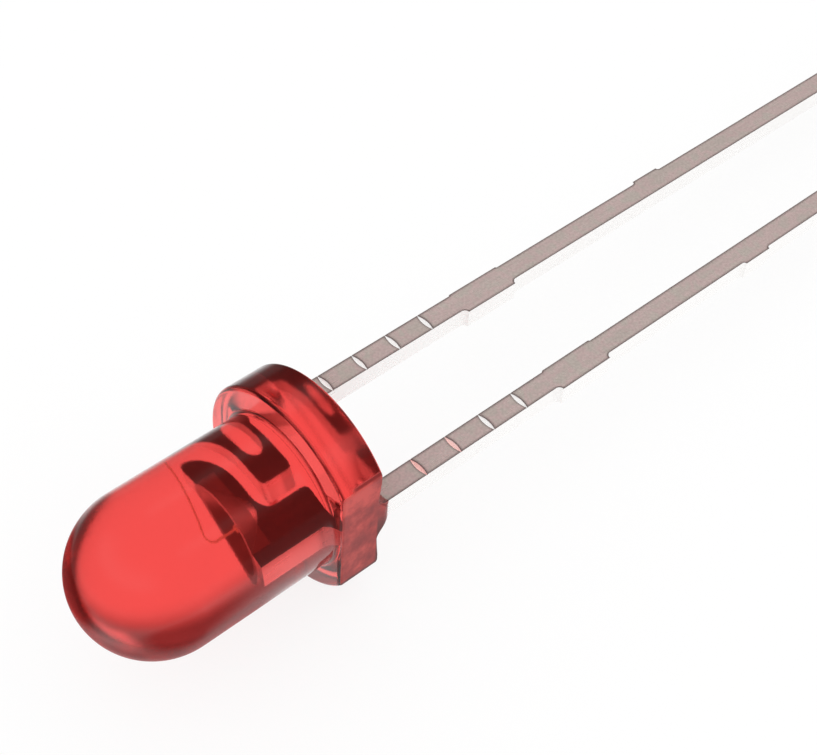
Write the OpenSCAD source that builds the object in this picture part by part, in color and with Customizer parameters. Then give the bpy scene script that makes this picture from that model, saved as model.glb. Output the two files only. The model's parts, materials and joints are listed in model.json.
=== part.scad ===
// Through-hole LED, 3 mm round type, with a flange and a tinted clear epoxy body, lying loose on its side.
//
// Each piece is drawn upright, in millimetres. z = 0 is the plane of the flange's back rim, which seats on a
// board. The dome is on +Z and the leads hang down to -Z. Both leads lie in the XZ plane, and the cathode and
// the flange's flat are on +X. lying() then lays the whole LED down as a loose one comes to rest, on the
// flange's back rim and on the tips of its two unequal leads. The origin stays at the centre of that rim.

/* [Epoxy body] */
// Diameter of the barrel, and of the dome that closes it
body_d = 3.0; // [2.9:0.05:3.2]
// Height from the flange's back face to the tip of the dome
body_h = 5.1; // [4.8:0.1:6]
// Diameter of the flange
flange_d = 4.0; // [3.8:0.05:4.2]
// Thickness of the flange
flange_h = 0.9; // [0.8:0.05:1.1]
// Distance from the axis to the flat that marks the cathode
flat_x = 1.6; // [1.58:0.01:1.7]
// Radius of the fillet where the barrel rises from the flange
root_r = 0.08; // [0.04:0.01:0.12]
// Depth of the hollow that the resin's meniscus leaves in the back face
dish_h = 0.20; // [0.06:0.01:0.24]
// Radius of that hollow, inside the flat rim that the LED is seated on
dish_r = 1.88; // [1.8:0.01:1.89]
// How far the resin crept along each lead as it was cast
creep_h = 0.24; // [0.16:0.02:0.4]
// Radius of that collar of resin inside the hollow
creep_root_r = 0.60; // [0.5:0.01:0.65]
// Radius of the collar at its tip
creep_tip_r = 0.32; // [0.31:0.01:0.4]

/* [Leads] */
// Distance between the centre lines of the leads
lead_pitch = 2.54; // [2.5:0.01:2.6]
// Width of a lead, across the plane that both leads lie in
lead_w = 0.45; // [0.4:0.01:0.5]
// Thickness of the stamped sheet
sheet_t = 0.40; // [0.35:0.01:0.45]
// Length of the cathode below the flange
cathode_l = 25.4; // [14:0.1:28]
// How much longer the anode is
anode_extra = 1.27; // [1:0.01:2]

/* [Marks on the leads] */
// Distance from the flange to the first groove pressed across a lead
groove_start = 1.16; // [1:0.02:1.4]
// Distance from one groove to the next
groove_step = 0.82; // [0.7:0.02:0.84]
// Number of grooves
groove_count = 4; // [1:1:4]
// Width of a groove at the surface
groove_w = 0.12; // [0.08:0.01:0.16]
// Depth of a groove in its middle
groove_depth = 0.05; // [0.03:0.01:0.06]
// Radius of the round-edged press tool, which leaves a groove deeper in the middle than at its ends
groove_tool_r = 0.70; // [0.6:0.05:1.5]
// Distance from the flange to the stub of the inner tie bar
inner_tie_start = 4.46; // [4.4:0.02:5]
// Length of that stub along the lead
inner_tie_l = 1.24; // [1:0.02:1.5]
// How far it stands out on the cathode's side, where the bar was sheared
inner_tie_out = 0.10; // [0.05:0.01:0.15]
// How far it stands out on the other side, which was trimmed flush
inner_tie_flush = 0.025; // [0.01:0.005:0.04]
// Distance from the flange to the stub of the outer tie bar
outer_tie_start = 9.7; // [9:0.1:11]
// Length of that stub along the lead
outer_tie_l = 0.7; // [0.5:0.05:1]
// How far it stands out from the outer side of the lead
outer_tie_out = 0.06; // [0.03:0.01:0.1]

/* [Cathode head] */
// Height of the reflector cup's rim above the flange's back face
cup_top = 2.33; // [2.3:0.01:2.4]
// Distance of the cup from the axis, towards the cathode
cup_x = 0.12; // [0:0.01:0.15]
// Radius of the cup at its rim
cup_r = 0.54; // [0.5:0.01:0.56]
// Radius of the cup's floor
cup_floor_r = 0.27; // [0.26:0.01:0.3]
// Depth of the cup
cup_depth = 0.36; // [0.34:0.01:0.4]
// Thickness of the cup's wall
cup_wall = 0.10; // [0.08:0.01:0.11]
// Inner side of the post that carries the cup
post_in_x = 0.26; // [0.24:0.01:0.3]
// Outer side of that post
post_out_x = 1.06; // [1:0.01:1.1]
// Tip of the nose that reaches over towards the anode
nose_x = -0.77; // [-0.78:0.01:-0.72]
// Underside of the nose
nose_z = 1.72; // [1.7:0.01:1.75]
// Radius of the nose's rounded lower corner
nose_r = 0.50; // [0.4:0.01:0.5]
// Radius of the hollow corner below the nose
throat_r = 0.27; // [0.2:0.01:0.3]

/* [Anode head] */
// Height of the bonding post above the flange's back face
anode_top = 2.25; // [2.15:0.01:2.25]
// Outer side of the bonding post
anode_post_out_x = -1.28; // [-1.32:0.01:-1.2]
// Inner side of that post
anode_post_in_x = -0.95; // [-0.97:0.01:-0.9]
// Free edge of the foot that anchors the anode in the resin
anode_foot_x = -0.05; // [-0.1:0.01:0]
// Top of the foot
anode_foot_z = 1.44; // [1.4:0.01:1.46]
// Radius of the hollow corner between the foot and the post
anode_throat_r = 0.47; // [0.4:0.01:0.5]
// Centre of the outer end of the slot that locks the foot in the resin
slot_out_x = -0.74; // [-0.76:0.01:-0.7]
// Centre of the inner end of that slot
slot_in_x = -0.60; // [-0.65:0.01:-0.58]
// Height of the slot
slot_z = 1.09; // [1.08:0.01:1.12]
// Radius of the slot's ends
slot_r = 0.20; // [0.15:0.01:0.2]

/* [Both heads] */
// Height of the heads' lower edges above the flange's back face
head_z = 0.78; // [0.75:0.01:0.8]
// Height at which the lead starts to lean in towards its head
neck_z = 0.58; // [0.5:0.01:0.6]
// Height at which the cathode's neck has reached its post
neck_top = 1.00; // [0.95:0.01:1.05]
// Height at which the anode's neck has reached its post
anode_neck_top = 0.90; // [0.88:0.01:0.95]
// How far inside the post's outer side the cathode's neck meets the head
neck_depth = 0.30; // [0.25:0.01:0.35]
// How far inside the post's outer side the anode's neck meets the head
anode_neck_depth = 0.53; // [0.5:0.01:0.56]
// Radius of the heads' free corners
corner_r = 0.10; // [0.04:0.01:0.12]

/* [Die and bond wire] */
// Side of the square die
die_w = 0.28; // [0.22:0.01:0.3]
// Height of the die
die_h = 0.18; // [0.12:0.01:0.2]
// Thickness of the silver epoxy below the die
attach_h = 0.03; // [0.02:0.005:0.04]
// Radius of that blob on the cup's floor
attach_r = 0.24; // [0.22:0.01:0.26]
// Diameter of the gold bond wire
wire_d = 0.03; // [0.025:0.005:0.04]
// Height of the wire's bend above the cup's rim
loop_h = 0.30; // [0.3:0.02:0.5]
// Radius of the bend above the die
loop_r = 0.12; // [0.12:0.01:0.15]

/* [Hidden] */
$fn = 96;
fine = 24;                                  // facets round the wire, which is too thin to need more
over = 1;                                   // how far a cutting shape runs past what it cuts
body_r = body_d / 2;
flange_r = flange_d / 2;
dome_z = body_h - body_r;                   // centre of the dome
lead_x = lead_pitch / 2;
lap = 0.05;                                 // how far two parts of one outline run into each other
cup_floor = cup_top - cup_depth;
cup_foot_rise = 0.03;                       // from the nose's underside to where the cup runs out
cup_foot_z = nose_z + cup_foot_rise;
cup_foot_r = 0.17;                          // under half of the sheet, so that the cup runs out to nothing
die_z = cup_floor + attach_h;
attach_slope = 1;                           // how far the blob narrows for each unit of its height
ball_wide = 1.7;                            // radius of the bond's ball, in wire diameters
ball_r = ball_wide * wire_d;
ball_flat = 0.6;                            // from the middle of the squashed ball to the die, in its radii
ball_cut = ball_flat * ball_r;
stitch_wide = 0.8;                          // radius of the stitch, in wire diameters
stitch_r = stitch_wide * wire_d;
dish_ball_r = (dish_r ^ 2 + dish_h ^ 2) / (2 * dish_h);
creep_bend = 1.5;                           // radius of the collar's hollow side, in lengths of its chord

// Lying at rest: the up direction u, in the upright frame, is square to the plane that touches the back rim
// and both tips. Its x is -u.z * anode_extra / lead_pitch, because the tips differ by anode_extra, and its z
// is found by going round a few times.
tip_lean = anode_extra / lead_pitch;
tip_reach = cathode_l + tip_lean * (lead_x + lead_w / 2);
function drop(s) = flange_r * sqrt(1 - s * s) - sheet_t / 2 * sqrt(1 - (1 + tip_lean ^ 2) * s * s);
function slope(s, turns) = turns == 0 ? s : slope(drop(s) / tip_reach, turns - 1);
up_z = slope(0, 8);
up_x = -up_z * tip_lean;
up_y = sqrt(1 - up_x ^ 2 - up_z ^ 2);
rest_pitch = atan2(up_z, up_y);
rest_roll = asin(-up_x);

// The bond wire: up from the ball, round one bend, then straight down to the anode.
ball_z = die_z + die_h + ball_cut;
bend_c = [cup_x - loop_r, cup_top + loop_h];
stitch = [(anode_post_out_x + anode_post_in_x) / 2, anode_top + wire_d / 2];
stitch_way = stitch - bend_c;
angle_step = 0.01;                          // the bend's angle is rounded to this, so that the run starts on it
tangent_angle = atan2(stitch_way.y, stitch_way.x) + 360 - acos(loop_r / norm(stitch_way));
bend_angle = round(tangent_angle / angle_step) * angle_step;
run_l = sqrt(norm(stitch_way) ^ 2 - loop_r ^ 2);

module lying() {
    rotate([90 - rest_pitch, rest_roll, 0]) children();
}

// Stands a drawing of the XZ plane up, as thick as the sheet.
module sheet() {
    rotate([90, 0, 0]) linear_extrude(sheet_t, center = true) children();
}

// A rectangle from corner a to corner b.
module block(a, b) {
    translate(a) square(b - a);
}

// What fills a hollow right corner at c with radius r. way points out of the corner, along x and y.
module corner_fill(c, r, way) {
    difference() {
        block([min(c.x, c.x + way.x * r), min(c.y, c.y + way.y * r)],
              [max(c.x, c.x + way.x * r), max(c.y, c.y + way.y * r)]);
        translate([c.x + way.x * r, c.y + way.y * r]) circle(r);
    }
}

// ---- epoxy body ----

module body_profile() {
    difference() {
        block([0, 0], [flange_r, flange_h]);
        translate([0, dish_h - dish_ball_r]) circle(dish_ball_r);
    }
    block([0, flange_h / 2], [body_r, dome_z]);
    corner_fill([body_r, flange_h], root_r, [1, 1]);
    intersection() {
        translate([0, dome_z]) circle(body_r);
        block([0, dome_z - over], [body_r, body_h]);
    }
}

// The resin that crept down a lead: a collar with a hollow side, which starts as high as the dish is deep.
module creep_collar() {
    root = [creep_root_r, dish_h];
    tip = [creep_tip_r, -creep_h];
    chord = tip - root;
    hollow_r = creep_bend * norm(chord);
    square_to = [-chord.y, chord.x] / norm(chord);
    hollow_c = (root + tip) / 2 + square_to * sqrt(hollow_r ^ 2 - (chord * chord) / 4);
    rotate_extrude() difference() {
        block([0, -creep_h], [creep_root_r, dish_h + lap]);
        translate(hollow_c) circle(hollow_r);
    }
}

module epoxy_shell() {
    difference() {
        union() {
            rotate_extrude() body_profile();
            for (side = [-1, 1]) translate([side * lead_x, 0, 0]) creep_collar();
        }
        translate([flat_x, -flange_r - over, -creep_h - over])
            cube([flange_r, 2 * (flange_r + over), creep_h + flange_h + over]);
    }
}

module epoxy_body() {
    color([0.80, 0.05, 0.05, 0.55]) lying() difference() {
        epoxy_shell();
        cathode_shape();
        anode_shape();
        attach_shape();
        die_shape();
        wire_shape();
    }
}

// ---- leads ----

// One lead below the flange, drawn round x = 0, l long, with its outer side towards side.
module shank_outline(l, side) {
    block([-lead_w / 2, -l], [lead_w / 2, neck_z]);
    tie_stub(1, inner_tie_start, inner_tie_l, inner_tie_out);
    tie_stub(-1, inner_tie_start, inner_tie_l, inner_tie_flush);
    tie_stub(side, outer_tie_start, outer_tie_l, outer_tie_out);
}

// What is left of a sheared tie bar on one side of a lead. Its ends run out to the lead in curves.
module tie_stub(side, start, l, out) {
    edge = side * lead_w / 2;
    tip = edge + side * out;
    block([min(0, tip), -start - l], [max(0, tip), -start]);
    corner_fill([edge, -start], out, [side, 1]);
    corner_fill([edge, -start - l], out, [side, -1]);
}

// Grooves pressed across the upper face of a lead at x = 0, by a disc with a sharp edge.
module grooves() {
    tool_y = sheet_t / 2 + groove_tool_r - groove_depth;
    tool_h = groove_tool_r * groove_w / 2 / groove_depth;
    for (i = [0 : groove_count - 1])
        translate([0, tool_y, -groove_start - i * groove_step])
            rotate_extrude() polygon([[0, -tool_h], [groove_tool_r, 0], [0, tool_h]]);
}

module cathode_outline() {
    translate([lead_x, 0]) shank_outline(cathode_l, 1);
    // the neck leans in from the lead to the post
    polygon([[lead_x - lead_w / 2, neck_z - lap], [lead_x + lead_w / 2, neck_z - lap],
             [lead_x + lead_w / 2, neck_z], [post_out_x, neck_top], [post_out_x - neck_depth, neck_top],
             [post_out_x - neck_depth, head_z]]);
    difference() {
        block([post_in_x, head_z], [post_out_x, cup_top]);
        corner_fill([post_in_x, head_z], corner_r, [1, 1]);
    }
    difference() {
        nose_outline();
        corner_fill([nose_x, cup_top], corner_r, [1, -1]);
    }
    corner_fill([post_in_x, nose_z], throat_r, [-1, -1]);
}

// The nose that carries the cup, with a large round corner below its tip.
module nose_outline() {
    block([nose_x + nose_r, nose_z], [post_in_x + corner_r, cup_top]);
    intersection() {
        translate([nose_x + nose_r, nose_z + nose_r]) circle(nose_r);
        block([nose_x, nose_z], [post_in_x, cup_top]);
    }
    block([nose_x, nose_z + nose_r], [nose_x + nose_r, cup_top]);
}

module cathode_shape() {
    difference() {
        union() {
            sheet() cathode_outline();
            // the cup is swaged out of the sheet, which makes its outside a cone
            translate([cup_x, 0, cup_foot_z])
                cylinder(h = cup_top - cup_foot_z, r1 = cup_foot_r, r2 = cup_r + cup_wall);
        }
        translate([cup_x, 0, cup_floor]) cup_hollow();
        translate([lead_x, 0, 0]) grooves();
    }
}

// The hollow of the cup, run on past its rim at the same slope.
module cup_hollow() {
    flare = (cup_r - cup_floor_r) / cup_depth;
    cylinder(h = cup_depth + over, r1 = cup_floor_r, r2 = cup_r + over * flare);
}

module anode_outline() {
    translate([-lead_x, 0]) shank_outline(cathode_l + anode_extra, -1);
    neck_x = anode_post_out_x + anode_neck_depth;
    polygon([[-lead_x - lead_w / 2, neck_z - lap], [-lead_x + lead_w / 2, neck_z - lap],
             [neck_x, head_z], [neck_x, anode_neck_top],
             [anode_post_out_x, anode_neck_top], [-lead_x - lead_w / 2, neck_z]]);
    block([anode_post_out_x, anode_neck_top - lap], [anode_post_in_x, anode_top]);
    difference() {
        block([anode_post_in_x - lap, head_z], [anode_foot_x, anode_foot_z]);
        corner_fill([anode_foot_x, head_z], corner_r, [-1, 1]);
        corner_fill([anode_foot_x, anode_foot_z], corner_r, [-1, -1]);
    }
    corner_fill([anode_post_in_x, anode_foot_z], anode_throat_r, [1, 1]);
}

module slot_outline() {
    for (x = [slot_out_x, slot_in_x]) translate([x, slot_z]) circle(slot_r);
    block([slot_out_x, slot_z - slot_r], [slot_in_x, slot_z + slot_r]);
}

module anode_shape() {
    difference() {
        sheet() difference() {
            anode_outline();
            slot_outline();
        }
        translate([-lead_x, 0, 0]) grooves();
    }
}

module cathode_lead() {
    color([0.72, 0.69, 0.68]) lying() cathode_shape();
}

module anode_lead() {
    color([0.72, 0.69, 0.68]) lying() anode_shape();
}

// ---- die and bond wire ----

module attach_shape() {
    top_r = attach_r - attach_slope * attach_h;
    translate([cup_x, 0, cup_floor]) cylinder(h = attach_h, r1 = attach_r, r2 = top_r);
}

module die_shape() {
    translate([cup_x - die_w / 2, -die_w / 2, die_z]) cube([die_w, die_w, die_h]);
}

module wire_shape() {
    // the ball, squashed flat on the die
    translate([cup_x, 0, ball_z]) difference() {
        sphere(ball_r, $fn = fine);
        translate([-over / 2, -over / 2, -ball_cut - over]) cube(over);
    }
    translate([cup_x, 0, ball_z]) cylinder(h = bend_c.y - ball_z, d = wire_d, $fn = fine);
    // the bend, then the run down to the anode
    translate([bend_c.x, 0, bend_c.y]) rotate([90, 0, 0]) {
        rotate_extrude(angle = bend_angle) translate([loop_r, 0]) circle(d = wire_d, $fn = fine);
        rotate(bend_angle) translate([loop_r, 0, 0]) rotate([-90, 0, 0])
            cylinder(h = run_l, d = wire_d, $fn = fine);
    }
    // the stitch that presses the wire on to the anode
    translate([stitch.x, 0, anode_top]) cylinder(h = wire_d, r = stitch_r, $fn = fine);
}

module led_die() {
    color([0.35, 0.30, 0.28]) lying() die_shape();
}

module die_attach() {
    color([0.80, 0.80, 0.78]) lying() attach_shape();
}

module bond_wire() {
    color([0.90, 0.72, 0.30]) lying() wire_shape();
}

epoxy_body();
cathode_lead();
anode_lead();
led_die();
die_attach();
bond_wire();
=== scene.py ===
# %% [markdown]
# # A 3 mm red LED, lying loose on a table
#
# A through-hole LED is a small casting. A stamped steel lead frame carries the light-emitting die in a
# reflector cup, a gold wire hair runs from the die to the second lead, and red-tinted clear epoxy is cast
# round all of it. The epoxy is both the lens and the housing.
#
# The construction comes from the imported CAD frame, which holds every piece at its real size. This lesson
# adds the looks: a smooth resin body, leads with clean faces, the wear on their edges, and the finish of
# each material.

import json
import math

import bmesh
import bpy
from mathutils import Matrix, Quaternion, Vector


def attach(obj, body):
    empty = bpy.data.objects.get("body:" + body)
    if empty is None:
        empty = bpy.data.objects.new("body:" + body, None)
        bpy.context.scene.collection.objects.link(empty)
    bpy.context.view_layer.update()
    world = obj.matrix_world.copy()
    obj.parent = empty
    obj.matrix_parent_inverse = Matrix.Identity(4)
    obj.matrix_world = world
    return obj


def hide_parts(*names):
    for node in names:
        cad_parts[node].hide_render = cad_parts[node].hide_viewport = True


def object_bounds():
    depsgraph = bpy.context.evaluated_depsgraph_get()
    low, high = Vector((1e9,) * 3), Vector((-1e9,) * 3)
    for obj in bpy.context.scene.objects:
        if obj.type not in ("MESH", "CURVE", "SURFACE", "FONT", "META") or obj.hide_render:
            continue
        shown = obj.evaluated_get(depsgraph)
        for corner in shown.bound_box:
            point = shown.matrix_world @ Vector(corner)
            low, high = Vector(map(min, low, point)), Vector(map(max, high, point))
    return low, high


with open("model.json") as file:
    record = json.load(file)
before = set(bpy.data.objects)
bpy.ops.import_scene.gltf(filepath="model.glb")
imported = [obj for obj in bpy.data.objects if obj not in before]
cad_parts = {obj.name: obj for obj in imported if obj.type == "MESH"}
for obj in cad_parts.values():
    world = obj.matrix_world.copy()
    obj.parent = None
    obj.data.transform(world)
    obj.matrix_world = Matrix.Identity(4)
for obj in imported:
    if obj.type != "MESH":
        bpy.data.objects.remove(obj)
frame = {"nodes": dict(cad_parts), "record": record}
cad_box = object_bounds()
print("pieces in the frame:", ", ".join(sorted(frame["nodes"])))

# %% [markdown]
# ## How the LED lies
#
# A loose LED rests on the back rim of its flange and on the tips of its two unequal leads, so its axis is
# tipped up by a few degrees. Drawing each piece in that pose would be awkward. It is easier to draw the LED
# standing upright, in millimetres, with the dome on +Z and the leads in the XZ plane, and to lay the
# finished mesh down at the end.
#
# The record's mounts say where the axis points. A turn round X tips the LED over, and a small turn round Y
# rolls it.

# %% Find the rest pose in the record
mm = 0.001
mounts = {mount["name"]: mount for mount in frame["record"]["mounts"]}
dome_way = Vector(mounts["barrel"]["axis"]).normalized()
rest_roll = math.atan2(dome_way.x, dome_way.z)
rest_pitch = math.asin(math.hypot(dome_way.x, dome_way.z))
turn_over = Matrix.Rotation(math.radians(90) - rest_pitch, 4, "X")
roll_over = Matrix.Rotation(rest_roll, 4, "Y")
lay_down = roll_over @ turn_over @ Matrix.Scale(mm, 4)
stand_up = lay_down.inverted()
print(f"the axis points {math.degrees(rest_pitch):.2f} degrees up")
print(f"the LED is rolled {math.degrees(rest_roll):.2f} degrees round it")

# %% [markdown]
# ## Sizes taken from the frame
#
# The new pieces have to fit the CAD ones, so their sizes are measured on them and not typed in again. The
# upright vertices of the epoxy body give the flange's radius, the distance to its flat, and how far the
# resin crept down the leads. The mounts give the barrel's radius and the height of the flange. The cathode
# gives the section of a lead at its tip.


# %% Measure the driving sizes
def upright_points(node):
    """The vertices of a CAD node, in millimetres, with the LED standing upright."""
    return [stand_up @ vertex.co for vertex in frame["nodes"][node].data.vertices]


epoxy_points = upright_points("epoxy_body")
lead_points = upright_points("cathode_lead")
body_r = mounts["barrel"]["dims"]["r_mm"]
flange_r = max(math.hypot(p.x, p.y) for p in epoxy_points)
flange_h = Vector(mounts["flange_shoulder"]["pos_m"]).dot(dome_way) / mm
dome_tip = max(p.z for p in epoxy_points)
dome_z = dome_tip - body_r
flat_x = max(p.x for p in epoxy_points)
creep_h = -min(p.z for p in epoxy_points)
tip_z = min(p.z for p in lead_points)
lead_tip = [p for p in lead_points if p.z < tip_z + 0.01]
lead_w = max(p.x for p in lead_tip) - min(p.x for p in lead_tip)
lead_x = (max(p.x for p in lead_tip) + min(p.x for p in lead_tip)) / 2
sheet_t = max(p.y for p in lead_points if p.z < 0) - min(p.y for p in lead_points if p.z < 0)
print(f"barrel radius {body_r:.2f}, flange {flange_r:.2f} by {flange_h:.2f}")
print(f"dome from {dome_z:.2f} to {dome_tip:.2f}")
print(f"flat at {flat_x:.2f}, creep {creep_h:.2f}, lead {lead_w:.2f} by {sheet_t:.2f} at {lead_x:.2f} mm")

# %% [markdown]
# The reflector cup is pushed out of the sheet, so its vertices are the only ones that stand beyond the
# sheet's two faces. The widest of them lie on its rim, and the middle of those is the middle of the cup.

# %% Measure the reflector cup
cup_points = [p for p in lead_points if abs(p.y) > sheet_t / 2 + 0.01 and p.z > 0]
cup_reach = max(p.y for p in cup_points)
cup_foot = min(p.z for p in cup_points)
cup_sides = [p.x for p in cup_points if abs(p.y) > 0.98 * cup_reach]
cup_x = sum(cup_sides) / len(cup_sides)
print(f"cup {cup_reach:.3f} round x {cup_x:.3f}, from z {cup_foot:.2f}")

# %% [markdown]
# ## Small helpers for node trees
#
# Shapes and materials below are node trees, and a tree is easier to read when each node takes one line.
# `add` makes a node, `feed` sets a socket or links it, and `calc` is one sum. `both`, `either`, `other` and
# `length` are the sums that come back often: a product, a largest value, what is left of 1, and a length.
# `split` and `join` take a vector apart and put one together.


# %% Add a node, feed a socket, do one sum
def add(tree, kind, **settings):
    """A new node, with its settings."""
    node = tree.nodes.new(kind)
    for name, value in settings.items():
        setattr(node, name, value)
    return node


def feed(socket, value):
    """Links a socket to another, or sets its value."""
    if isinstance(value, bpy.types.NodeSocket):
        socket.id_data.links.new(value, socket)
    else:
        socket.default_value = value


def calc(tree, operation, *values):
    """One sum, such as calc(tree, "ADD", a, b)."""
    node = add(tree, "ShaderNodeMath", operation=operation)
    for socket, value in zip(node.inputs, values):
        feed(socket, value)
    return node.outputs[0]


# %% Sums that come back often
def both(tree, *values):
    """The product of some values."""
    result = values[0]
    for value in values[1:]:
        result = calc(tree, "MULTIPLY", result, value)
    return result


def either(tree, *values):
    """The largest of some values."""
    result = values[0]
    for value in values[1:]:
        result = calc(tree, "MAXIMUM", result, value)
    return result


def other(tree, value):
    """What is left of 1."""
    return calc(tree, "SUBTRACT", 1, value)


def length(tree, *parts):
    """The length of a vector from its parts."""
    total = both(tree, parts[0], parts[0])
    for part in parts[1:]:
        total = calc(tree, "ADD", total, both(tree, part, part))
    return calc(tree, "SQRT", total)


# %% Take a vector apart, and put one together
def split(tree, vector):
    """The X, Y and Z of a vector."""
    node = add(tree, "ShaderNodeSeparateXYZ")
    feed(node.inputs[0], vector)
    return node.outputs


def join(tree, x, y, z):
    """A vector from its X, Y and Z."""
    node = add(tree, "ShaderNodeCombineXYZ")
    for socket, value in zip(node.inputs, (x, y, z)):
        feed(socket, value)
    return node.outputs[0]


# %% [markdown]
# A tree for a shape has more ceremony: its inputs are declared by name, and it ends by making everything
# real and by giving it a material. Two helpers do that, so that the tree of a piece holds only what is
# special to it.


# %% Helpers that open and close a shape's tree
def new_shape_tree(name, inputs):
    """A Geometry Nodes tree with named inputs. Gives the tree, its input sockets and the output socket."""
    tree = bpy.data.node_groups.new(name, "GeometryNodeTree")
    tree.interface.new_socket("Geometry", in_out="INPUT", socket_type="NodeSocketGeometry")
    tree.interface.new_socket("Geometry", in_out="OUTPUT", socket_type="NodeSocketGeometry")
    for label, kind in inputs:
        tree.interface.new_socket(label, in_out="INPUT", socket_type=kind)
    entry = add(tree, "NodeGroupInput")
    leave = add(tree, "NodeGroupOutput")
    return tree, entry.outputs, leave.inputs[0]


def end_shape_tree(tree, geometry, material, leave):
    """Ends a tree in Realize Instances and Set Material."""
    solid = add(tree, "GeometryNodeRealizeInstances")
    feed(solid.inputs[0], geometry)
    finish = add(tree, "GeometryNodeSetMaterial")
    feed(finish.inputs[0], solid.outputs[0])
    finish.inputs["Material"].default_value = material
    feed(leave, finish.outputs[0])


# %% [markdown]
# A modifier knows its inputs by an identifier, not by the name on the socket. `run_tree` looks each one up,
# sets it, evaluates the object once, and keeps the result as a plain mesh with the modifier gone.
# `check_mesh` looks at what came out, because a body of resin has to be closed, with its faces outwards,
# before light can pass through it.


# %% Run a tree and keep a plain mesh
def run_tree(obj, tree, **values):
    """Runs a Geometry Nodes tree on an upright object, and lays the plain mesh that it gives down."""
    modifier = obj.modifiers.new(tree.name, "NODES")
    modifier.node_group = tree
    for item in tree.interface.items_tree:
        if item.in_out == "INPUT" and item.name in values:
            modifier[item.identifier] = values[item.name]
    view = bpy.context.evaluated_depsgraph_get()
    mesh = bpy.data.meshes.new_from_object(obj.evaluated_get(view), depsgraph=view)
    obj.modifiers.clear()
    obj.data = mesh
    mesh.name = obj.name
    check_mesh(mesh)
    mesh.transform(lay_down)
    return obj


def check_mesh(mesh):
    """Turns the faces of a closed mesh outwards, and prints what the mesh is like."""
    shape = bmesh.new()
    shape.from_mesh(mesh)
    if shape.calc_volume(signed=True) < 0:
        bmesh.ops.reverse_faces(shape, faces=shape.faces)
    open_edges = sum(not edge.is_manifold for edge in shape.edges)
    volume = shape.calc_volume(signed=True)
    print(f"{mesh.name}: {len(shape.faces)} faces, {open_edges} open edges, {volume:.4f} cubic mm")
    shape.to_mesh(mesh)
    shape.free()


def new_object(name, mesh):
    """An object for a mesh, in the scene."""
    obj = bpy.data.objects.new(name, mesh)
    bpy.context.scene.collection.objects.link(obj)
    return obj


# %% [markdown]
# ## The resin body: one profile, turned round the axis
#
# The real body is cast in a polished cup mould, with the leads dipped in from the open side. So it is a
# body of revolution, apart from the flat on the flange and from the resin that creeps along each lead. The
# CAD solid has sharp edges. A casting has none, and edges are where glass-clear resin shows its highlights,
# so this body is drawn again with small rounds, and finely enough that its refraction is smooth.
#
# The profile is a list of rings, from the tip of the dome to the middle of the back face. A ring says its
# height, and either its own radius or how far it stays inside the flange's outline.


# %% One ring
def ring(z, radius=0.0, share=0.0, inset=0.0, drop=0.0):
    """A ring at height z, with a radius, or with a share of the flange's outline less an inset. Drop lets
    it sag with the resin that crept down the leads."""
    return {"z": z, "radius": radius, "share": share, "inset": inset, "drop": drop}


def quarter(steps):
    """Angles from 0 to 90 degrees, in even steps."""
    return [math.radians(90) * i / steps for i in range(steps + 1)]


# %% Rings of the dome, the barrel and the fillet
dome_rings = 56
barrel_rings = 8
round_rings = 6         # rings in each of the small rounds
root_r = 0.08           # fillet where the barrel rises from the flange
step_in = 0.012         # spacing of the rings that hold a flat face flat beside a round


def dome_and_barrel():
    """Rings from the dome's tip to the foot of the barrel."""
    rings = [ring(dome_z + body_r * math.cos(angle), radius=body_r * math.sin(angle))
             for angle in quarter(dome_rings)]
    root_top = flange_h + root_r
    for i in range(1, barrel_rings + 1):
        rings.append(ring(dome_z + (root_top + step_in - dome_z) * i / barrel_rings, radius=body_r))
    for angle in quarter(round_rings):
        fillet_r = body_r + root_r - root_r * math.cos(angle)
        rings.append(ring(root_top - root_r * math.sin(angle), radius=fillet_r))
    return rings


# %% Rings of the flange
front_r = 0.08          # round on the flange's front edge
back_r = 0.05           # round on its back edge
ledge = body_r + root_r + step_in / 3       # the flange's front face starts just outside the fillet


def flange():
    """Rings from the flange's front face, down its side, to the round at its back."""
    rings = [ring(flange_h, radius=ledge, share=1, inset=front_r + step_in)]
    for angle in quarter(round_rings):
        rings.append(ring(flange_h - front_r + front_r * math.cos(angle), radius=ledge, share=1,
                          inset=front_r * (1 - math.sin(angle))))
    rings.append(ring(flange_h - front_r - step_in, share=1))
    rings.append(ring(back_r + step_in, share=1, drop=1))
    for angle in quarter(round_rings):
        inset = back_r * (1 - math.cos(angle))
        rings.append(ring(back_r - back_r * math.sin(angle), share=1, inset=inset, drop=1))
    return rings


# %% Rings of the back face, and the whole profile
back_rings = 60
dish_depth = 0.20       # depth of the hollow that the resin's meniscus leaves in the back face
dish_reach = 1.88       # radius of that hollow
back_face = [ring(0, share=1 - i / back_rings, inset=back_r + step_in, drop=1)
             for i in range(back_rings + 1)]
rings = dome_and_barrel() + flange() + back_face
print(f"the profile has {len(rings)} rings")

# %% [markdown]
# Geometry Nodes can turn that list into a body, because the shape follows a rule. A grid has one column for
# each direction round the axis and one row for each ring. Each grid point looks up its ring, works out how
# far the outline lies in its own direction, and moves there.
#
# - The outline is the flange's circle or the straight flat, whichever is nearer. A smooth minimum rounds
#   the corner.
# - The creep is a sag that grows towards each lead, from nothing at its foot to the full height at the
#   metal.
# - The hollow in the back is what the resin's own surface left: a shallow bowl, deepest in the middle.


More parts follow.
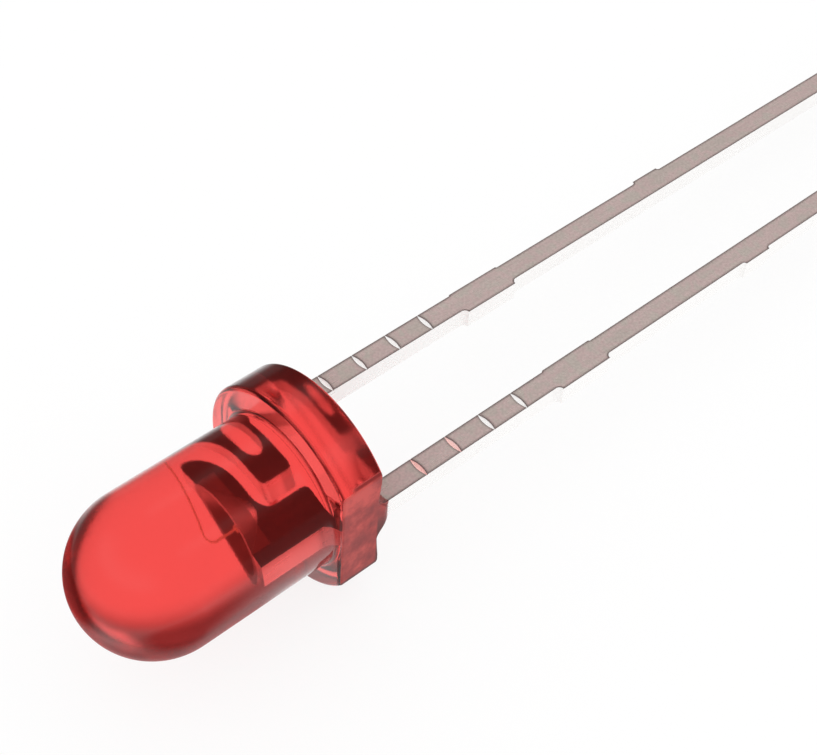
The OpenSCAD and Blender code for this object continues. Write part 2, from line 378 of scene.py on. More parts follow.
# %% Read a ring inside the tree
def look_up(tree, rings_mesh, row, name):
    """The three numbers that a ring keeps under that name."""
    stored = add(tree, "GeometryNodeInputNamedAttribute", data_type="FLOAT_VECTOR")
    stored.inputs["Name"].default_value = name
    sample = add(tree, "GeometryNodeSampleIndex", data_type="FLOAT_VECTOR", domain="POINT")
    feed(sample.inputs["Geometry"], rings_mesh)
    feed(sample.inputs["Value"], stored.outputs["Attribute"])
    feed(sample.inputs["Index"], row)
    return split(tree, sample.outputs[0])


# %% Find the outline in one direction
def outline_at(tree, given, cosine):
    """How far the flange's outline lies from the axis, in the direction that has this cosine."""
    to_flat = calc(tree, "DIVIDE", given["Flat distance"], either(tree, cosine, 0.05))
    return calc(tree, "SMOOTH_MIN", given["Flange radius"], to_flat, given["Corner round"])


# %% Shape the back face
creep_curve = 1.8       # how quickly the crept resin thins away from a lead


def back_rise(tree, given, x, y, reach):
    """How far the back face stands above its rim: the hollow, less the resin that crept along the leads."""
    half_width = both(tree, given["Lead width"], 0.5)
    half_sheet = both(tree, given["Sheet thickness"], 0.5)
    from_axis, from_sheet = calc(tree, "ABSOLUTE", x), calc(tree, "ABSOLUTE", y)
    off_centre = calc(tree, "ABSOLUTE", calc(tree, "SUBTRACT", from_axis, given["Lead distance"]))
    beside = either(tree, calc(tree, "SUBTRACT", off_centre, half_width), 0)
    above = either(tree, calc(tree, "SUBTRACT", from_sheet, half_sheet), 0)
    gap = length(tree, beside, above)
    nearness = either(tree, other(tree, calc(tree, "DIVIDE", gap, given["Creep spread"])), 0)
    sag = both(tree, given["Creep height"], calc(tree, "POWER", nearness, creep_curve))
    outward = calc(tree, "DIVIDE", reach, given["Dish radius"])
    hollow = either(tree, other(tree, both(tree, outward, outward)), 0)
    return calc(tree, "SUBTRACT", both(tree, hollow, given["Dish depth"]), sag)


# %% Build the tree for the resin body
def resin_tree(material):
    """Rings to a closed body, with the flat and with resin that crept along two leads."""
    sizes = ["Flange radius", "Flat distance", "Corner round", "Lead distance", "Lead width",
             "Sheet thickness", "Creep height", "Creep spread", "Dish depth", "Dish radius"]
    inputs = [("Rings", "NodeSocketInt"), ("Directions", "NodeSocketInt")]
    inputs += [(size, "NodeSocketFloat") for size in sizes]
    tree, given, leave = new_shape_tree("resin_body_tree", inputs)

    grid = add(tree, "GeometryNodeMeshGrid")
    feed(grid.inputs["Vertices X"], given["Directions"])
    feed(grid.inputs["Vertices Y"], given["Rings"])
    place = split(tree, add(tree, "GeometryNodeInputPosition").outputs[0])
    angle = both(tree, calc(tree, "ADD", place[0], 0.5), math.tau)
    last = calc(tree, "SUBTRACT", given["Rings"], 1)
    row = calc(tree, "ROUND", both(tree, calc(tree, "ADD", place[1], 0.5), last))
    radius, inset, z = look_up(tree, given["Geometry"], row, "ring_size")
    share, drop, _ = look_up(tree, given["Geometry"], row, "ring_rule")

    cosine, sine = calc(tree, "COSINE", angle), calc(tree, "SINE", angle)
    outline = calc(tree, "SUBTRACT", outline_at(tree, given, cosine), inset)
    reach = either(tree, radius, both(tree, share, outline))
    x, y = both(tree, reach, cosine), both(tree, reach, sine)
    height = calc(tree, "ADD", z, both(tree, back_rise(tree, given, x, y, reach), drop))

    move = add(tree, "GeometryNodeSetPosition")
    feed(move.inputs["Geometry"], grid.outputs["Mesh"])
    feed(move.inputs["Position"], join(tree, x, y, height))
    close = add(tree, "GeometryNodeMergeByDistance")
    feed(close.inputs["Geometry"], move.outputs[0])
    close.inputs["Distance"].default_value = 1e-5
    smooth = add(tree, "GeometryNodeSetShadeSmooth")
    feed(smooth.inputs["Geometry"], close.outputs[0])
    end_shape_tree(tree, smooth.outputs[0], material, leave)
    return tree


# %% [markdown]
# ## A coordinate that follows the LED itself
#
# The finishes change along the leads, round the cup and at the flat, so a material has to know where it is
# on the LED. Object coordinates say that in the lying pose. A Mapping node with the turn that stands the
# LED up gives the LED's own axes again, and the same turn on the normal says which way a face looks.


# %% The LED's own axes in a material
def stood_up(tree, vector, kind, size=1.0):
    """A vector of the lying LED, turned to the LED's own axes: Z runs along the leads."""
    turn = add(tree, "ShaderNodeMapping", vector_type=kind)
    feed(turn.inputs["Vector"], vector)
    turn.inputs["Rotation"].default_value = stand_up.to_3x3().normalized().to_euler("XYZ")
    turn.inputs["Scale"].default_value = (size, size, size)
    return turn.outputs[0]


def own_axes(tree):
    """Where a point is on the LED's own axes, in millimetres."""
    return stood_up(tree, add(tree, "ShaderNodeTexCoord").outputs["Object"], "POINT", 1 / mm)


def own_facing(tree):
    """How far a face looks along each of the LED's own axes, from 0 to 1."""
    facing = stood_up(tree, add(tree, "ShaderNodeTexCoord").outputs["Normal"], "VECTOR")
    return [calc(tree, "ABSOLUTE", part) for part in split(tree, facing)]


# %% [markdown]
# ## Helpers for finishes
#
# A finish is mostly masks and mixes. A mask is a number from 0 to 1 that says where something holds: `fade`
# makes one from a distance, `both` keeps what several share, and `either` takes the strongest. `noise` and
# `ramp` give the unevenness that every real surface has.


# %% Noise
def noise(tree, vector, scale, detail=3.0, roughness=0.5, stretch=None):
    """Noise from 0 to 1, with scale in features for each millimetre. Stretch squeezes it along an axis."""
    if stretch:
        squeeze = add(tree, "ShaderNodeMapping", vector_type="POINT")
        feed(squeeze.inputs["Vector"], vector)
        squeeze.inputs["Scale"].default_value = stretch
        vector = squeeze.outputs[0]
    node = add(tree, "ShaderNodeTexNoise")
    feed(node.inputs["Vector"], vector)
    node.inputs["Scale"].default_value = scale
    node.inputs["Detail"].default_value = detail
    node.inputs["Roughness"].default_value = roughness
    return node.outputs["Fac"]


# %% Ramp
def ramp(tree, value, *stops):
    """A colour ramp. Each stop is (position, colour), and a colour may be one number."""
    node = add(tree, "ShaderNodeValToRGB")
    feed(node.inputs[0], value)
    elements = node.color_ramp.elements
    while len(elements) < len(stops):
        elements.new(1.0)
    for element, (position, colour) in zip(elements, stops):
        element.position = position
        element.color = (*colour, 1) if isinstance(colour, tuple) else (colour, colour, colour, 1)
    return node.outputs[0]


# %% Bump and fade
def bump(tree, height, strength, depth):
    """A bump from a height of 0 to 1, for a depth in millimetres."""
    node = add(tree, "ShaderNodeBump")
    feed(node.inputs["Height"], height)
    node.inputs["Strength"].default_value = strength
    node.inputs["Distance"].default_value = depth * mm
    return node.outputs[0]


def fade(tree, value, start, end):
    """0 at start, 1 at end, and smooth between them."""
    node = add(tree, "ShaderNodeMapRange", interpolation_type="SMOOTHSTEP")
    feed(node.inputs["Value"], value)
    node.inputs["From Min"].default_value = start
    node.inputs["From Max"].default_value = end
    return node.outputs[0]


# %% Mix colours, and mix shaders
def mix_colours(tree, share, first, second):
    """The first colour at share 0, the second at share 1."""
    node = add(tree, "ShaderNodeMix", data_type="RGBA")
    for label, value in (("Factor", share), ("A", first), ("B", second)):
        feed(node.inputs[label], (*value, 1) if isinstance(value, tuple) else value)
    return node.outputs["Result"]


def mix_shaders(tree, share, first, second):
    """The first shader at share 0, the second at share 1."""
    node = add(tree, "ShaderNodeMixShader")
    for socket, value in zip(node.inputs, (share, first, second)):
        feed(socket, value)
    return node.outputs[0]


# %% A new material
def new_material(name):
    """A material with a Principled shader. Gives the material, its tree, the shader and the output node."""
    material = bpy.data.materials.new(name)
    material.use_nodes = True
    tree = material.node_tree
    tree.nodes.clear()
    shader = add(tree, "ShaderNodeBsdfPrincipled")
    out = add(tree, "ShaderNodeOutputMaterial")
    feed(out.inputs["Surface"], shader.outputs[0])
    return material, tree, shader, out


# %% [markdown]
# ## The resin's finish
#
# Tinted clear epoxy has its colour in its depth: thin edges are pale and thick parts are deep red. Volume
# Absorption does that inside a shell that transmits light. A tint on the surface adds the rest of the
# colour, so that even a thin edge is red. The index of refraction is that of epoxy, about 1.53.
#
# The mould leaves a very fine grain. Looking straight through the resin it can't be seen, but it breaks up
# the reflections at the rim, so it goes in the bump and in the roughness.
#
# The flat is different. That part of the mould isn't polished, so the flat is frosted: dull and cloudy,
# with painted light that makes it paler towards one end. Its lower and back edges, and the round that
# runs behind them, are darker.

# %% Masks for the flat on the flange
half_flat = math.sqrt(flange_r ** 2 - flat_x ** 2)      # from the middle of the flat to its ends
frost_skin = (0.02, 0.006)      # mm inside the flat where the frost starts and where it is whole
edge_skin = (0.075, 0.035)      # the same for the round behind the flat's edges
dark_edge_share = 0.85                # how far a darker edge goes towards dark red
print(f"the flat is {2 * half_flat:.2f} mm long")


def flat_masks(tree, x, y, z):
    """Where the resin is frosted, where the round behind the flat's edges is, and where its edges are
    darker.
    """
    frosted = fade(tree, x, flat_x - frost_skin[0], flat_x - frost_skin[1])
    behind = fade(tree, x, flat_x - edge_skin[0], flat_x - edge_skin[1])
    edged = both(tree, behind, fade(tree, z, 0.72, 0.55))
    low_edge = fade(tree, y, 0.10 - half_flat, 0.04 - half_flat)
    back_edge = both(tree, fade(tree, z, 0.10, 0.05), fade(tree, y, 0.3, -0.2))
    # the flat's lower and back edges are made darker red
    darker_edges = both(tree, either(tree, low_edge, back_edge), dark_edge_share)
    return frosted, edged, darker_edges


# %% Tints of the resin and of its frost
clear_tint = (1.0, 0.13, 0.12)
depth_tint = (0.97, 0.10, 0.10)
depth_density = 150.0           # for each metre of resin
frost_dull = (0.31, 0.018, 0.016)
frost_red = (0.46, 0.035, 0.030)
frost_pale = (0.68, 0.075, 0.062)
flat_edge_dark_red = (0.10, 0.006, 0.005)
edge_red = (0.30, 0.012, 0.010)
print("each tint has more red than green, by a factor of:",
      [round(tint[0] / tint[1]) for tint in (clear_tint, depth_tint, frost_dull, frost_red, frost_pale)])

# %% Red-tinted epoxy
frost_solid = 0.7               # share of the light that the frost turns back instead of letting through
epoxy_bend = 1.53               # index of refraction


def red_resin():
    """Clear epoxy, dyed red through its depth, and frosted on the flat."""
    material, tree, shader, out = new_material("red_resin")
    place = own_axes(tree)
    x, y, z = split(tree, place)
    frosted, edged, darker_edges = flat_masks(tree, x, y, z)
    stains = noise(tree, place, 2.4, detail=6.0, roughness=0.6)
    # painted light: the frost is paler towards its +Y end, on top of its random stains
    tone = calc(tree, "ADD", stains, both(tree, fade(tree, y, 0.3, 1.0), 0.12))
    matt_red = ramp(tree, tone, (0.36, frost_dull), (0.50, frost_red), (0.66, frost_pale))
    matt_red = mix_colours(tree, darker_edges, matt_red, flat_edge_dark_red)
    clear_red = mix_colours(tree, edged, clear_tint, edge_red)
    feed(shader.inputs["Base Color"], mix_colours(tree, frosted, clear_red, matt_red))
    haze = noise(tree, place, 1.6, detail=2.0)
    polish = ramp(tree, haze, (0.35, 0.09), (0.75, 0.13))
    dull = either(tree, frosted, edged)
    feed(shader.inputs["Roughness"], calc(tree, "ADD", polish, both(tree, dull, 0.40)))
    feed(shader.inputs["Transmission Weight"], other(tree, both(tree, dull, frost_solid)))
    shader.inputs["IOR"].default_value = epoxy_bend
    grain = noise(tree, place, 28.0, detail=4.0)
    feed(shader.inputs["Normal"], bump(tree, grain, 0.25, 0.004))
    depth = add(tree, "ShaderNodeVolumeAbsorption")
    depth.inputs["Color"].default_value = (*depth_tint, 1)
    depth.inputs["Density"].default_value = depth_density
    feed(out.inputs["Volume"], depth.outputs[0])
    return material


resin_material = red_resin()
print(f"{resin_material.name} has {len(resin_material.node_tree.nodes)} nodes")

# %% [markdown]
# ## The profile becomes the body
#
# The tree reads the rings from two attributes of a small mesh that has one vertex for each ring. All the
# sizes go in as named inputs, so the same tree would make the body of any LED of this form.

# %% Turn the profile into the resin body
directions = 289        # columns of the grid, the first and the last in the same direction
corner_round = 0.04     # round where the flat meets the flange's circle
creep_spread = 0.34     # how far from a lead the crept resin reaches
creep_sag = creep_h + dish_depth / 2    # at a lead, the sag first has to fill about half of the hollow

profile = bpy.data.meshes.new("resin_profile")
profile.from_pydata([(0, 0, r["z"]) for r in rings], [], [])
ring_size = profile.attributes.new("ring_size", "FLOAT_VECTOR", "POINT")
ring_rule = profile.attributes.new("ring_rule", "FLOAT_VECTOR", "POINT")
for i, r in enumerate(rings):
    ring_size.data[i].vector = (r["radius"], r["inset"], r["z"])
    ring_rule.data[i].vector = (r["share"], r["drop"], 0)
resin_body = run_tree(new_object("resin_body", profile), resin_tree(resin_material), **{
    "Rings": len(rings), "Directions": directions, "Flange radius": flange_r, "Flat distance": flat_x,
    "Corner round": corner_round, "Lead distance": lead_x, "Lead width": lead_w, "Sheet thickness": sheet_t,
    "Creep height": creep_sag, "Creep spread": creep_spread,
    "Dish depth": dish_depth, "Dish radius": dish_reach})
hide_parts("epoxy_body")
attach(resin_body, "root")

# %% [markdown]
# ## The stamped leads
#
# The leads are sheared from sheet steel about 0.4 mm thick. The CAD pieces have the right outline, but
# their mesh is cut into slivers, and its stored normals smear the light over them. So a copy of each is
# cleaned up: doubled points are merged, flat faces are made whole, and only the curved ones are shaded
# smooth. The copy stands for the CAD piece.
#
# A real edge isn't sharp: shearing pulls it round, and plating rounds it further. That round is a few
# hundredths of a millimetre, too fine for this outline to be bevelled all round, so the plating below
# paints its shade as a dark line.

# %% Clean up the CAD leads
same_point = 1e-4                   # vertices closer than this are one, in mm
same_face = math.radians(0.5)       # faces that meet at a smaller turn than this are one flat face
sharp_turn = math.radians(32)       # an edge that turns by more than this stays sharp
straight_on = 0.9995                # a flat face looks along one axis by at least this much


def sheared_copy(node, name):
    """A copy of a CAD lead with whole flat faces and sharp edges."""
    mesh = frame["nodes"][node].data.copy()
    mesh.name = name
    if "custom_normal" in mesh.attributes:
        mesh.attributes.remove(mesh.attributes["custom_normal"])
    mesh.transform(stand_up)
    shape = bmesh.new()
    shape.from_mesh(mesh)
    bmesh.ops.remove_doubles(shape, verts=shape.verts, dist=same_point)
    bmesh.ops.dissolve_limit(shape, angle_limit=same_face, verts=shape.verts, edges=shape.edges)
    bmesh.ops.triangulate(shape, faces=[face for face in shape.faces if len(face.verts) > 4])
    shape.to_mesh(mesh)
    shape.free()
    mesh.set_sharp_from_angle(angle=sharp_turn)
    for face in mesh.polygons:
        face.use_smooth = max(abs(part) for part in face.normal) < straight_on
    check_mesh(mesh)
    mesh.transform(lay_down)
    piece = new_object(name, mesh)
    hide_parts(node)
    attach(piece, "root")
    return piece


# %% [markdown]
# ## Where the plating changes
#
# A lead has two kinds of face. The rolled faces are the sheet's own, and the sheared sides are where the
# tool cut. Which one a point is on follows from the way it looks. The other masks follow from where it is:
#
# - outside: below the flange, where the lead was dipped in tin. Inside the resin the silver plating shows.
# - swaged: on the cup, whose cone counts as a rolled face, because it is the sheet's face pushed out.
# - groove: the pressed marks, which are the only slopes on the rolled faces outside the resin.
# - edge: painted shade on the rounded edges and on the lips of the grooves.


# %% Masks for the two kinds of face
def face_masks(tree, x, y, z):
    """Where a lead is outside the resin, where it is swaged, and where it is a rolled face."""
    outside = fade(tree, z, 0.1, -0.1)
    cup_gap = length(tree, calc(tree, "SUBTRACT", x, cup_x), y)
    round_cup = fade(tree, cup_gap, cup_reach + 0.03, cup_reach)
    swaged = both(tree, round_cup, fade(tree, z, cup_foot - 0.05, cup_foot))
    _, rolled_on, _ = own_facing(tree)
    rolled = either(tree, fade(tree, rolled_on, 0.90, 0.99), both(tree, swaged, 0.9))
    return outside, swaged, rolled


# %% [markdown]
# The painted shade on the edges uses the Bevel node. It gives the normal that the surface would have if its
# edges were rounded. Near an edge it differs from the true normal, and the difference is the mask. A
# groove's slopes look partly along the lead, and they count as groove only below the sheet's surface: the
# lip at the surface gets the painted shade of an edge.

# %% Masks for the edges and the grooves
edge_round = 0.09       # how far from an edge its painted shade reaches


def edge_masks(tree, y, outside):
    """Where a rolled face has painted shade at its rounded edges, and where a groove was pressed."""
    rounded = add(tree, "ShaderNodeBevel", samples=8)
    rounded.inputs["Radius"].default_value = edge_round * mm
    agree = add(tree, "ShaderNodeVectorMath", operation="DOT_PRODUCT")
    feed(agree.inputs[0], rounded.outputs[0])
    feed(agree.inputs[1], add(tree, "ShaderNodeNewGeometry").outputs["True Normal"])
    near_edge = fade(tree, other(tree, agree.outputs["Value"]), 0.004, 0.03)
    _, rolled_on, end_on = own_facing(tree)
    on_slope = both(tree, fade(tree, end_on, 0.40, 0.58), fade(tree, rolled_on, 0.4, 0.6), outside)
    groove = both(tree, on_slope, fade(tree, y, sheet_t / 2 - 0.006, sheet_t / 2 - 0.018))
    lip = calc(tree, "SUBTRACT", on_slope, groove)
    edge = either(tree, lip, both(tree, near_edge, fade(tree, rolled_on, 0.95, 0.99), outside))
    return edge, groove


# %% [markdown]
# ## The colours of the plating
#
# Tin is a warm, satin grey. Up close it has cloudy patches of tone, faint lines along the rolled sheet and
# a fine speckle. Silver inside the resin is a plainer grey, lighter on the cup. The sheared sides are
# bright metal. The grooves carry a painted highlight: they are painted pale, and the two next to the flat
# carry a painted red reflection of the resin.

# %% Tin, silver and bare metal
tin_tones = ((0.36, (0.60, 0.54, 0.49)), (0.50, (0.66, 0.52, 0.50)), (0.64, (0.60, 0.53, 0.485)))
silver_grey = (0.50, 0.49, 0.48)
cup_silver = (0.82, 0.80, 0.78)
bare_metal = (0.98, 0.97, 0.96)
# painted shade: the dark line on the rounded edges and on the lips of the grooves
edge_painted_shade = (0.20, 0.16, 0.155)
# painted highlight on the grooves, and a painted red reflection of the resin on the two beside the flat
groove_painted_highlight = (0.95, 0.94, 0.93)
groove_painted_red_glow = (0.95, 0.62, 0.58)


def tin(tree, place, lines):
    """Cloudy, lined and speckled tin."""
    node = add(tree, "ShaderNodeMix", data_type="RGBA", blend_type="MULTIPLY")
    node.inputs["Factor"].default_value = 1.0
    feed(node.inputs["A"], ramp(tree, noise(tree, place, 3.0, detail=4.0), *tin_tones))
    streaks = ramp(tree, lines, (0.25, 0.93), (0.75, 1.0))
    speckle = ramp(tree, noise(tree, place, 20.0, detail=2.0), (0.32, 0.82), (0.68, 1.0))
    feed(node.inputs["B"], both(tree, streaks, speckle))
    return node.outputs["Result"]


# %% [markdown]
# One material covers both leads, because tin and silver are on one stamping with no seam. How matt a face
# is matters as much as its colour: a metallic face shows the room, and a matt one shows the light that
# falls on it. The rolled tin is mostly matt, the sheared sides are half so, the grooves almost wholly so,
# and inside the resin only the leaning necks are.

# %% The plating
groove_matt, side_matt, rolled_matt, neck_matt = 0.90, 0.50, 0.65, 0.90


def plating():
    """Satin tin on the legs, silver inside the resin, and bright sheared sides."""
    material, tree, shader, _ = new_material("plating")
    place = own_axes(tree)
    x, y, z = split(tree, place)
    outside, swaged, rolled = face_masks(tree, x, y, z)
    edge, groove = edge_masks(tree, y, outside)
    lines = noise(tree, place, 14.0, detail=3.0, stretch=(1.0, 1.0, 0.06))

    silver = mix_colours(tree, swaged, silver_grey, cup_silver)
    colour = mix_colours(tree, outside, silver, tin(tree, place, lines))
    colour = mix_colours(tree, rolled, bare_metal, colour)
    # painted shade on the rounded edges and the groove lips
    colour = mix_colours(tree, edge, colour, edge_painted_shade)
    # the grooves beside the flat get the painted red reflection
    beside_flat = both(tree, fade(tree, z, -2.3, -1.9), fade(tree, x, 0, 0.1))
    groove_painted_colour = mix_colours(tree, beside_flat, groove_painted_highlight, groove_painted_red_glow)
    feed(shader.inputs["Base Color"], mix_colours(tree, groove, colour, groove_painted_colour))

    inside, sheared = other(tree, outside), other(tree, rolled)
    neck = both(tree, sheared, inside, fade(tree, z, 1.08, 1.0))
    matt = either(tree, both(tree, groove, groove_matt), both(tree, sheared, outside, side_matt),
                  both(tree, rolled, outside, rolled_matt), both(tree, neck, neck_matt))
    feed(shader.inputs["Metallic"], other(tree, matt))
    satin = ramp(tree, lines, (0.2, 0.34), (0.8, 0.24))
    feed(shader.inputs["Roughness"], calc(tree, "ADD", satin, both(tree, inside, rolled, 0.25)))
    feed(shader.inputs["Normal"], bump(tree, both(tree, lines, rolled), 0.3, 0.004))
    return material


# %% Plate both leads
plating_material = plating()
print(f"{plating_material.name} has {len(plating_material.node_tree.nodes)} nodes")
for node, name in (("cathode_lead", "cathode_lead_plated"), ("anode_lead", "anode_lead_plated")):
    lead = sheared_copy(node, name)
    lead.data.materials.clear()
    lead.data.materials.append(plating_material)

# %% [markdown]
# ## Die, silver epoxy and bond wire
#
# These three are tiny. They keep their CAD shape and get their own finishes. The wire is drawn gold, less
# than a tenth as thick as a lead. It is too thin for a mirror finish to show as more than sparkle, so its
# gold is almost all in its colour. The epoxy under the die is full of silver flakes, so that it conducts,
# and so it is partly metal and partly dull resin. The die is sawn from a wafer, which leaves upright marks
# on its dark sides.


# %% Gold
def gold():
    """Drawn gold wire."""
    material, tree, shader, _ = new_material("bond_gold")
    marks = noise(tree, own_axes(tree), 60.0)
    feed(shader.inputs["Base Color"], ramp(tree, marks, (0.3, (1.0, 0.86, 0.60)), (0.7, (1.0, 0.92, 0.70))))
    shader.inputs["Metallic"].default_value = 0.1
    shader.inputs["Roughness"].default_value = 0.6
    return material


# %% Silver epoxy
def silver_epoxy():
    """Dull resin, full of silver flakes."""
    material, tree, shader, _ = new_material("silver_flakes")
    flakes = noise(tree, own_axes(tree), 45.0, detail=2.0)
    feed(shader.inputs["Base Color"], ramp(tree, flakes, (0.35, 0.45), (0.65, 0.78)))
    feed(shader.inputs["Metallic"], ramp(tree, flakes, (0.4, 0.2), (0.6, 0.9)))
    shader.inputs["Roughness"].default_value = 0.5
    return material


# %% The die
def die_stone():
    """A sawn semiconductor die, dark on its sides."""
    material, tree, shader, _ = new_material("die_stone")
    saw = noise(tree, own_axes(tree), 30.0, stretch=(0.2, 0.2, 3.0))
    feed(shader.inputs["Base Color"], ramp(tree, saw, (0.3, (0.10, 0.08, 0.08)), (0.7, (0.22, 0.17, 0.16))))
    shader.inputs["Roughness"].default_value = 0.35
    return material


# %% Finish the three small pieces
for node, make in (("bond_wire", gold), ("die_attach", silver_epoxy), ("led_die", die_stone)):
    piece = frame["nodes"][node]
    piece.data.materials.clear()
    piece.data.materials.append(make())
    print(node, "is finished in", piece.data.materials[0].name)

# %% [markdown]
# ## The table
#
# The table is white paper under clear film. To the camera, to reflections and to what is seen through the
# resin it is white, and it still takes the LED's soft shadow. Light Path tells a material which kind of ray
# has met it, so the paper can be an even white for those rays and a plain lit surface for all others.
#
# Mirrored rays are the ones that leave the resin or the metal and show what lies around. A real table isn't
# empty there: it has the red shadow that light throws through the LED, and shade beside and under the body.
# Three soft patches of painted shadow stand for them. Only mirrored rays see the patches, so the table
# itself stays clean.

# %% Painted shadows, seen only in mirrors
white = (1, 1, 1)
# painted shadow colours, which only mirrored rays see
red_shadow_paint = (0.36, 0.03, 0.03)
side_shadow_paint = (0.32, 0.16, 0.16)
shade_red = (0.60, 0.34, 0.34)
red_shadow_spot = ((-4.5, -7.5), 5.0, 3.0)       # middle, outer radius and inner radius, in mm
side_shadow_spot = ((4.5, -4.5), 4.0, 2.0)
strip_middle, strip_half = -2.4, 2.0        # the middle and half the length of the strip's line, along Y
strip_soft = (2.4, 1.0)                     # how far from that line the shade ends, and where it is whole
strip_start = (-1.4, -2.2)                  # where it begins beside the flange, and where it is whole


def spot(tree, x, y, centre, outer, inner):
    """A soft round patch of painted shadow on the paper."""
    east, north = calc(tree, "SUBTRACT", x, centre[0] * mm), calc(tree, "SUBTRACT", y, centre[1] * mm)
    return fade(tree, length(tree, east, north), outer * mm, inner * mm)


def strip(tree, x, y):
    """A soft strip of painted shade under the body, which ends short of the flange."""
    along = calc(tree, "ABSOLUTE", calc(tree, "SUBTRACT", y, strip_middle * mm))
    beyond = either(tree, calc(tree, "SUBTRACT", along, strip_half * mm), 0)
    below = fade(tree, length(tree, x, beyond), strip_soft[0] * mm, strip_soft[1] * mm)
    return both(tree, below, fade(tree, y, strip_start[0] * mm, strip_start[1] * mm))


# %% White paper under clear film
paper_white = (0.9, 0.9, 0.9)
even_share = 0.85               # the camera sees this much even white, and the rest takes the shadow
# the film's painted red shadow, in the red patch
film_shadow_red = (0.45, 0.10, 0.09)


def white_paper():
    """White paper that keeps a soft shadow, with a film that mirrors the room at a low angle, and painted
    shadows that only mirrored rays see.
    """
    material, tree, shader, out = new_material("white_paper")
    shader.inputs["Base Color"].default_value = (*paper_white, 1)
    shader.inputs["Roughness"].default_value = 0.9
    path = add(tree, "ShaderNodeLightPath").outputs
    seen, mirrored, through = path["Is Camera Ray"], path["Is Glossy Ray"], path["Is Transmission Ray"]
    only_mirrored = either(tree, calc(tree, "SUBTRACT", mirrored, through), 0)
    x, y, _ = split(tree, add(tree, "ShaderNodeTexCoord").outputs["Object"])
    red_shadowed = both(tree, spot(tree, x, y, *red_shadow_spot), only_mirrored, 0.96)
    beside = both(tree, spot(tree, x, y, *side_shadow_spot), only_mirrored)
    shaded = both(tree, strip(tree, x, y), only_mirrored)

    around = mix_colours(tree, beside, white, side_shadow_paint)
    around = mix_colours(tree, shaded, around, shade_red)
    light = add(tree, "ShaderNodeEmission")
    feed(light.inputs["Color"], mix_colours(tree, red_shadowed, around, red_shadow_paint))
    share = calc(tree, "ADD", both(tree, seen, even_share), either(tree, mirrored, through))
    paper = mix_shaders(tree, share, shader.outputs[0], light.outputs[0])

    tilt = add(tree, "ShaderNodeLayerWeight")
    tilt.inputs["Blend"].default_value = 0.5
    film = add(tree, "ShaderNodeBsdfGlossy")
    film.inputs["Roughness"].default_value = 0.05
    feed(film.inputs["Color"], mix_colours(tree, red_shadowed, white, film_shadow_red))
    gloss = both(tree, fade(tree, tilt.outputs["Facing"], 0.40, 0.78), either(tree, mirrored, through), 0.9)
    feed(out.inputs["Surface"], mix_shaders(tree, gloss, paper, film.outputs[0]))
    return material


# %% Lay the table under the LED
table_size = 1.2
half = table_size / 2
table_z = cad_box[0].z
table_mesh = bpy.data.meshes.new("table")
corners = [(-half, -half, table_z), (half, -half, table_z), (half, half, table_z), (-half, half, table_z)]
table_mesh.from_pydata(corners, [], [(0, 1, 2, 3)])
table = new_object("table", table_mesh)
table.data.materials.append(white_paper())
print(f"the table is at z {table_z / mm:.3f} mm")

# %% [markdown]
# ## The light
#
# A small glossy thing is lit by what it mirrors. So the studio is drawn in the world, by direction, and
# there are no lamps to place. The room is dim and faintly red, which gives the resin its dark rims. A card
# up behind the leads and a base low behind them are what the tin mirrors, and a dimmer front lights the
# dome's near side. Each of them is a product of fades, which give it soft edges: one for how far a
# direction points to the back, and one or two for how far it points up.
#
# Two kinds of ray see something else. Rays that light matt surfaces see an even white, which makes the soft
# shadow. The camera sees plain white past the table's edge.

# %% Draw the studio by direction
room_level, room_red = 0.17, (1.0, 0.38, 0.36)
card_level, card_warm = 0.45, (1.0, 0.85, 0.82)
base_level = 0.95
front_level = 0.30
even_level = 1.15

world = bpy.data.worlds.new("studio")
bpy.context.scene.world = world
world.use_nodes = True
sky = world.node_tree
sky.nodes.clear()
_, north, up = split(sky, add(sky, "ShaderNodeTexCoord").outputs["Generated"])
level_run = calc(sky, "SQRT", calc(sky, "SUBTRACT", 1.0001, both(sky, up, up)))
toward_back = calc(sky, "DIVIDE", north, level_run)
card = both(sky, fade(sky, toward_back, 0.45, 0.68), fade(sky, up, 0.45, 0.62), fade(sky, up, 0.84, 0.74))
base = both(sky, fade(sky, toward_back, 0.76, 0.86), fade(sky, up, 0.35, 0.20))
front = both(sky, fade(sky, toward_back, -0.2, -0.8), fade(sky, up, 0.95, 0.6), fade(sky, up, 0.35, 0.6))


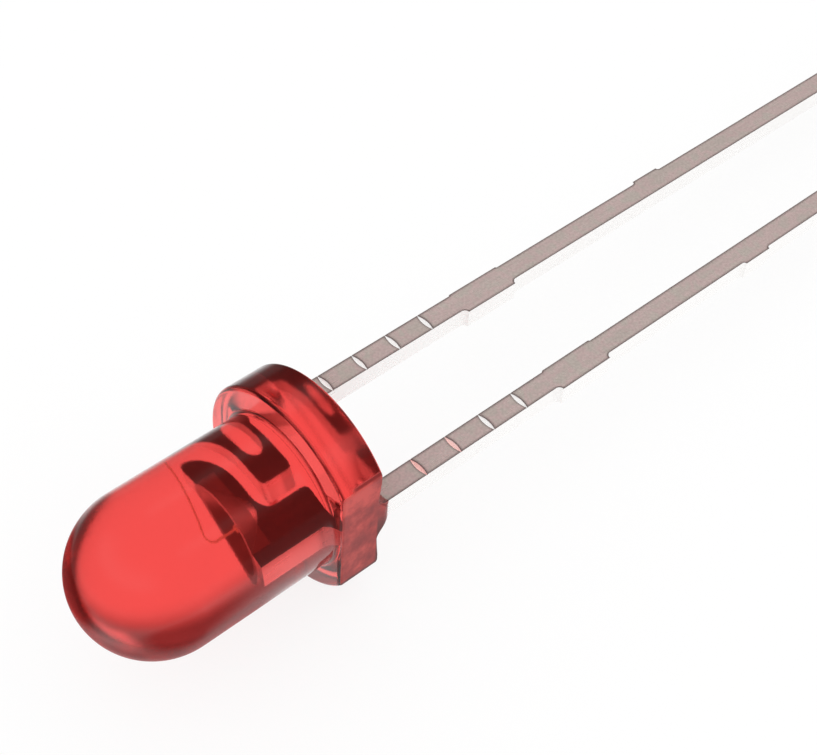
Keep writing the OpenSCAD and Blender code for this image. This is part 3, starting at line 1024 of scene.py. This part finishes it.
# %% Light the studio
def background(level, colour=white):
    """A background of one colour."""
    node = add(sky, "ShaderNodeBackground")
    node.inputs["Color"].default_value = (*colour, 1)
    node.inputs["Strength"].default_value = level
    return node.outputs[0]


path = add(sky, "ShaderNodeLightPath").outputs
room = background(room_level, room_red)
room = mix_shaders(sky, card, room, background(card_level, card_warm))
room = mix_shaders(sky, base, room, background(base_level))
room = mix_shaders(sky, front, room, background(front_level))
lights_matt = calc(sky, "GREATER_THAN", path["Diffuse Depth"], 0.5)
lit = mix_shaders(sky, lights_matt, room, background(even_level))
sky_out = add(sky, "ShaderNodeOutputWorld")
feed(sky_out.inputs["Surface"], mix_shaders(sky, path["Is Camera Ray"], lit, background(1.0)))
world.cycles.sampling_method = "NONE"
print(f"the studio has {len(sky.nodes)} nodes")

# %% [markdown]
# ## The camera
#
# The camera looks down at the dome from its front right, from about 30 mm away. That is close for so small
# a thing, so the leads run together a little as they go back. Its place is given as two angles and a
# distance from the point that it aims at, which is easier to adjust than a location.

# %% Place the camera
camera_azimuth = math.radians(49.578)
camera_elevation = math.radians(48.867)
camera_distance = 30.832 * mm
camera_roll = math.radians(-1.82)
camera_aim = Vector((-0.4464, 2.4658, 0)) * mm

lens = bpy.data.cameras.new("camera")
lens.sensor_width = 36
lens.lens = 73.948
lens.clip_start = 1 * mm
lens.clip_end = 10
camera = bpy.data.objects.new("camera", lens)
bpy.context.scene.collection.objects.link(camera)
back = Vector((math.sin(camera_azimuth) * math.cos(camera_elevation),
               -math.cos(camera_azimuth) * math.cos(camera_elevation), math.sin(camera_elevation)))
camera.location = camera_aim + back * camera_distance
camera.rotation_mode = "QUATERNION"
camera.rotation_quaternion = (-back).to_track_quat("-Z", "Y") @ Quaternion((0, 0, 1), camera_roll)
bpy.context.scene.camera = camera
bpy.context.scene.view_settings.view_transform = "Standard"
print("the camera is at, mm:", [round(v / mm, 2) for v in camera.location])

# %% [markdown]
# ## The frame's box
#
# The dressed LED has to fill the same box as the CAD one, or it would no longer fit where the part fits.
# The script prints the frame's box.

# %% Print the frame's box, and finish
print("frame box, mm:", [[round(v / mm, 3) for v in corner] for corner in cad_box])
